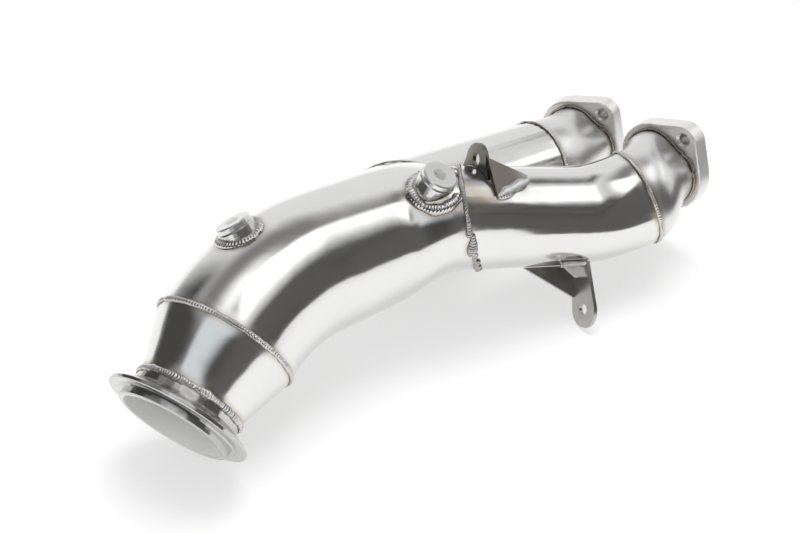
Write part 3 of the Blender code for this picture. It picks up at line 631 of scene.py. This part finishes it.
beads["weld_cone"] = ring_bead("weld_cone", 0.0037, 0.0011, uneven=0.15)
beads["weld_near_ring"] = ring_bead("weld_near_ring", 0.0031, 0.0010, uneven=0.15)
beads["weld_far_ring"] = ring_bead("weld_far_ring", 0.0031, 0.0010, uneven=0.15)
beads["weld_vband"] = ring_bead("weld_vband", 0.0048, 0.0010, uneven=0.16)
for name in FLANGES:
    weld = "weld_" + name.split("_")[0] + "_flange"
    beads[weld] = ring_bead(weld, 0.0030, 0.0010, uneven=0.15)
beads["weld_far_seam"] = ring_bead("weld_far_seam", 0.0036, 0.0008)
beads["weld_near_seam"] = ring_bead("weld_near_seam", 0.0036, 0.0011, swell_at=(0.0200, -0.0570, 0.0990),
                                    swell_by=2.3, swell_reach=0.0070, uneven=0.14)
print("laid:", sorted(beads))

# %% The fillets round the sensor bungs
BUNG_BEAD_STEPS = 300
RAY_HEIGHT = 0.06       # over the bung, where the rays that find the pipe's surface start


def bung_bead(name, bung, reach, height):
    """A broad fillet between a bung and the pipe that it stands on."""
    points = points_of(turned[bung])
    centre, axis = lathe_axis(points)
    axis = axis * np.sign(axis[2])
    wall = np.linalg.norm(points - centre - ((points - centre) @ axis)[:, None] * axis, axis=1).max()
    tree = surface_of(tubes["main_pipe"].data)
    side = unit(np.cross(axis, (0.3, 0.5, 0.8)))
    line, ups = [], []
    for angle in np.linspace(0, math.tau, BUNG_BEAD_STEPS):
        out = side * math.cos(angle) + np.cross(axis, side) * math.sin(angle)
        starts = [Vector(centre + out * (wall + far) + axis * RAY_HEIGHT) for far in (0.0, reach)]
        foot, toe = (np.array(tree.ray_cast(start, Vector(-axis))[0]) for start in starts)
        line.append(foot + (toe - foot) * 0.24 + axis * height * 0.05)
        ups.append(unit(unit(toe - foot) * 0.35 + axis))
    return lay_bead(name, np.array(line), np.array(ups), reach * 1.3, height, uneven=0.16)


beads["weld_seam_sensor_bung"] = bung_bead("weld_seam_sensor_bung", "seam_sensor_bung", 0.0062, 0.0038)
beads["weld_bend_sensor_bung"] = bung_bead("weld_bend_sensor_bung", "bend_sensor_bung", 0.0045, 0.0022)

# %% The broad bead under the upper bracket's wing
points = points_of(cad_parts["weld_upper_bracket"])
line = evenly(middle_line(points)[0], LINE_STEP)[0]
leg_tree = surface_of(tubes["near_leg"].data)
ups = unit(np.array([leg_tree.find_nearest(Vector(point))[1] for point in line]))
beads["weld_upper_bracket"] = lay_bead("weld_upper_bracket", line - ups * 0.0006, ups, 0.0088, 0.0025,
                                       uneven=0.15, closed=False)
pieces.update(beads)
print("faces:", {name: len(beads[name].data.polygons) for name in LAID})

# %% [markdown]
# ## Where the heat went
#
# A weld leaves marks on the metal beside it: a straw and brown tint a few millimetres wide, and a
# band where the polishing wheel could not reach. The distance from every point of a piece to the
# nearest bead is kept as an attribute, so one finish can read it anywhere. The metal round the upper
# bracket was heated most, so tubes and beads also keep how near they are to that spot.

# %% Measure the distance to the nearest weld
bead_points = np.concatenate([points_of(beads[name])[::3] for name in BEADS])
bead_tree = KDTree(len(bead_points))
for index, point in enumerate(bead_points):
    bead_tree.insert(point, index)
bead_tree.balance()
HOT_SPOT = Vector((0.028, -0.028, 0.132))
HOT_REACH = 0.040

for name, piece in pieces.items():
    points = points_of(piece)
    if name not in beads:
        keep(piece, "seam", [bead_tree.find(point)[2] for point in points])
    if name in tubes or name in beads:
        away = np.linalg.norm(points - np.array(HOT_SPOT), axis=1)
        keep(piece, "heat", np.clip(1 - away / HOT_REACH, 0, 1))
print("bead points:", len(bead_points))

# %% [markdown]
# ## Finishes
#
# All of it is stainless steel, so the metals are close in colour and differ in their surface. Tubes
# are polished to a near mirror with fine wheel marks. Bores are pale and mostly dull, which is a
# guess, but the flanges' holes are painted dark as painted shade. Flanges keep a tool's satin. The
# V-band's steel is painted darker as painted shade. Bracket sheet is dull, browned near the hottest
# weld and darkened there as painted shade. Beads are bright, rippled and a little discoloured, and
# the flange beads are browned and darkened, partly as painted shade.

# %% Polished tube
def new_finish(name):
    """A metal with its shader, and the value from which its pattern grows."""
    made = bpy.data.materials.new(name)
    made.use_nodes = True
    shader = made.node_tree.nodes["Principled BSDF"]
    shader.inputs["Metallic"].default_value = 1.0
    return made, shader, Value(made.node_tree, None)


def feed(made, shader, **values):
    """Links values to the shader's sockets, whose names are written with underscores."""
    for name, value in values.items():
        made.node_tree.links.new(value.socket, shader.inputs[name.replace("_", " ")])


def noise(base, place, scale, detail=3.0, roughness=0.55):
    """Soft noise at a scale, in features per metre."""
    return base.node("ShaderNodeTexNoise", sockets={"Vector": place, "Scale": scale, "Detail": detail,
                                                    "Roughness": roughness})


def stretched(base, place, scales):
    """Coordinates scaled by given amounts along X, Y and Z."""
    return base.node("ShaderNodeVectorMath", {"operation": "MULTIPLY"}, {0: place, 1: scales})


def attribute(base, name):
    """The number that a piece keeps under a name."""
    return base.node("ShaderNodeAttribute", {"attribute_name": name}, out=2)


def bump(base, height, distance, strength=1.0, under=None):
    """A Bump node, on top of another one where that is given."""
    sockets = {"Height": height, "Distance": distance, "Strength": strength}
    if under:
        sockets["Normal"] = under
    return base.node("ShaderNodeBump", sockets=sockets)


def dress(names, made):
    """Gives pieces a finish."""
    for name in names:
        pieces[name].data.materials.clear()
        pieces[name].data.materials.append(made)


STEEL = (0.80, 0.797, 0.785)
STRAW = (0.72, 0.63, 0.46)
BROWN = (0.36, 0.30, 0.245)
RAW = (0.80, 0.79, 0.775)


def tube_finish(name, gloss, waviness, tint_depth):
    """Polished tube: gloss is its lowest roughness, waviness the depth of its waves in metres."""
    made, shader, base = new_finish(name)
    place = base.node("ShaderNodeTexCoord", out=3)
    seam = attribute(base, "seam")
    inside = attribute(base, "inside")
    heat = attribute(base, "heat")
    cloud = noise(base, place, 28.0)
    fine = noise(base, place, 190.0, 4.0)
    wheel = noise(base, stretched(base, place, (160.0, 160.0, 900.0)), 1.0, 2.0)
    near_weld = 1 - seam.fade(0.0008, 0.0075)
    tint = 1 - seam.fade(0.0002, 0.0042)
    near_hot_spot = (heat + fine * 0.5 - 0.25).fade(0.05, 0.75)
    clean = cloud.fade(0.2, 0.8).blend(colour(*(c * 0.97 for c in STEEL)), colour(*STEEL))
    straw = (tint * cloud.fade(0.3, 0.7) * tint_depth).blend(clean, colour(*STRAW))
    burnt = (tint * tint * 0.3).blend(straw, colour(*BROWN))
    cooked = (near_hot_spot * 0.55).blend(burnt, colour(*BROWN))
    feed(made, shader, Base_Color=inside.blend(cooked, colour(*RAW)))
    feed(made, shader, Metallic=1 - inside * 0.85)
    marks = cloud * 0.05 + near_weld * 0.10 + wheel * 0.02 + near_hot_spot * 0.14
    feed(made, shader, Roughness=marks + inside * 0.40 + gloss)
    waves = bump(base, noise(base, place, 55.0, 1.0) + near_hot_spot * fine * 0.3, waviness)
    feed(made, shader, Normal=bump(base, wheel, 0.000010, under=waves))
    return made


polished = tube_finish("polished_tube", 0.085, 0.00018, 0.7)
softer = tube_finish("softly_polished_neck", 0.27, 0.00035, 0.9)
NECKS = [name for name in TUBES if "neck" in name]
dress(TUBES, polished)
dress(NECKS, softer)
print("polished:", TUBES)

# %% Turned pieces
def turned_finish(name, gloss, dark, light):
    """Steel from the lathe, with rings that follow each piece's own profile."""
    made, shader, base = new_finish(name)
    place = base.node("ShaderNodeTexCoord", out=3)
    seam = attribute(base, "seam")
    inside = attribute(base, "inside")
    lathe = attribute(base, "lathe")
    cloud = noise(base, place, 60.0)
    rings = base.node("ShaderNodeTexNoise", {"noise_dimensions": "1D"},
                      {"W": lathe, "Scale": 2600.0, "Detail": 3.0, "Roughness": 0.6})
    broad = base.node("ShaderNodeTexNoise", {"noise_dimensions": "1D"},
                      {"W": lathe, "Scale": 500.0, "Detail": 2.0})
    tint = 1 - seam.fade(0.0003, 0.005)
    steel = (rings * 0.6 + broad * 0.4).fade(0.25, 0.75).blend(colour(dark, dark, dark * 0.98),
                                                                colour(light, light, light * 0.99))
    raw = (tint * 0.35).blend(steel, colour(0.60, 0.54, 0.44))
    feed(made, shader, Base_Color=inside.blend(raw, colour(0.88, 0.88, 0.87)))
    feed(made, shader, Metallic=1 - inside * 0.75)
    feed(made, shader, Roughness=gloss + cloud * 0.05 + rings * 0.08 + inside * 0.15)
    feed(made, shader, Normal=bump(base, rings, 0.000035))
    return made


# The V-band's turned steel is painted darker all over than the bungs' and plugs', as painted shade.
dress(["vband_flange"], turned_finish("turned_steel_with_painted_shade", 0.10, 0.48, 0.62))
BUNGS = ["seam_sensor_bung", "bend_sensor_bung"]
PLUGS = ["seam_sensor_plug", "bend_sensor_plug"]
dress(BUNGS, turned_finish("bung_steel", 0.16, 0.70, 0.80))
dress(PLUGS, turned_finish("plug_steel", 0.27, 0.80, 0.90))
print("turned:", TURNED)

# %% Satin flange plates
satin, shader, base = new_finish("flange_satin")
place = base.node("ShaderNodeTexCoord", out=3)
seam = attribute(base, "seam")
tint = 1 - seam.fade(0.0003, 0.006)
cloud = noise(base, place, 60.0)
cuts = noise(base, stretched(base, place, (300.0, 300.0, 2600.0)), 1.0, 2.0)
steel = cloud.fade(0.2, 0.8).blend(colour(0.80, 0.79, 0.76), colour(0.88, 0.87, 0.845))
burnt = (tint * 0.6).blend(steel, colour(0.42, 0.37, 0.31))
shader.inputs["Metallic"].default_value = 0.78
# Faces inside the bore and the bolt holes are painted dark, as painted shade in the holes.
feed(satin, shader, Base_Color=(attribute(base, "inside") * 0.7).blend(burnt, colour(0.20, 0.19, 0.175)))
feed(satin, shader, Roughness=0.30 + cloud * 0.12 + cuts * 0.06)
feed(satin, shader, Normal=bump(base, cuts, 0.00003))
dress(FLANGES, satin)
print("satin:", FLANGES)

# %% Dull bracket sheet
dull, shader, base = new_finish("bracket_sheet")
place = base.node("ShaderNodeTexCoord", out=3)
seam = attribute(base, "seam")
tint = 1 - seam.fade(0.0005, 0.009)
cloud = noise(base, place, 90.0, 4.0)
grain = noise(base, stretched(base, place, (400.0, 2600.0, 400.0)), 1.0, 2.0)
steel = cloud.fade(0.25, 0.75).blend(colour(0.46, 0.445, 0.42), colour(0.54, 0.53, 0.505))
straw = (tint * cloud.fade(0.3, 0.8) * 0.5).blend(steel, colour(0.50, 0.42, 0.30))
# Round the hot spot the sheet is darkened nearly to black: partly heat tint, partly painted shade.
away = place.node("ShaderNodeVectorMath", {"operation": "DISTANCE"}, {0: place, 1: HOT_SPOT}, out=1)
near_hot_spot = (1 - away.fade(0.030, 0.055)) * 0.9
feed(dull, shader, Base_Color=near_hot_spot.blend(straw, colour(0.14, 0.12, 0.10)))
feed(dull, shader, Roughness=0.25 + cloud * 0.12)
feed(dull, shader, Normal=bump(base, grain, 0.00003))
dress(SHEETS, dull)
print("dull:", SHEETS)

# %% Rippled weld
def bead_finish(name, dark, light, burn_and_shade):
    """A row of crescents; burn_and_shade is how much of the bead is left brown, as heat tint and, on the
    flange beads, also as painted shade.
    """
    made, shader, base = new_finish(name)
    place = base.node("ShaderNodeTexCoord", out=3)
    along = attribute(base, "along")
    off = attribute(base, "off_middle")
    heat = attribute(base, "heat")
    grit = noise(base, place, 420.0, 3.0)
    blotch = noise(base, place, 90.0, 2.0)
    phase = along / RIPPLE + off * off * 0.8 + blotch * 1.6
    crescent = (phase * math.tau).maths("SINE") * 0.5 + 0.5
    ridge = crescent * (1 - off.fade(0.55, 0.95))
    steel = crescent.blend(colour(dark, dark * 0.985, dark * 0.95),
                           colour(light, light * 0.99, light * 0.975))
    browned_and_shaded = blotch.fade(0.62 - burn_and_shade * 0.4, 0.80 - burn_and_shade * 0.4) * (0.35 + burn_and_shade * 0.4)
    burnt = browned_and_shaded.blend(steel, colour(*BROWN))
    toe = (off.fade(0.72, 1.0) * 0.5).blend(burnt, colour(0.22, 0.19, 0.16))
    cooked = heat.fade(0.2, 0.9) * grit.fade(0.3, 0.7) * 0.6
    feed(made, shader, Base_Color=cooked.blend(toe, colour(*BROWN)))
    feed(made, shader, Roughness=0.12 + grit * 0.14)
    feed(made, shader, Normal=bump(base, ridge + grit * 0.12, 0.00030))
    return made


dress(BEADS, bead_finish("weld_ripples", 0.62, 0.82, 0.05))
# The flange beads are browned and darkened, partly as heat tint and partly as painted shade where the pipe
# meets the flange.
BROWNED_AND_SHADED = [name for name in BEADS if name.endswith("_flange")]
dress(BROWNED_AND_SHADED, bead_finish("browned_weld", 0.30, 0.55, 0.6))
dress(["weld_near_seam"], bead_finish("dark_weld", 0.36, 0.66, 0.25))
print("rippled:", len(BEADS), "beads, of which browned:", BROWNED_AND_SHADED)
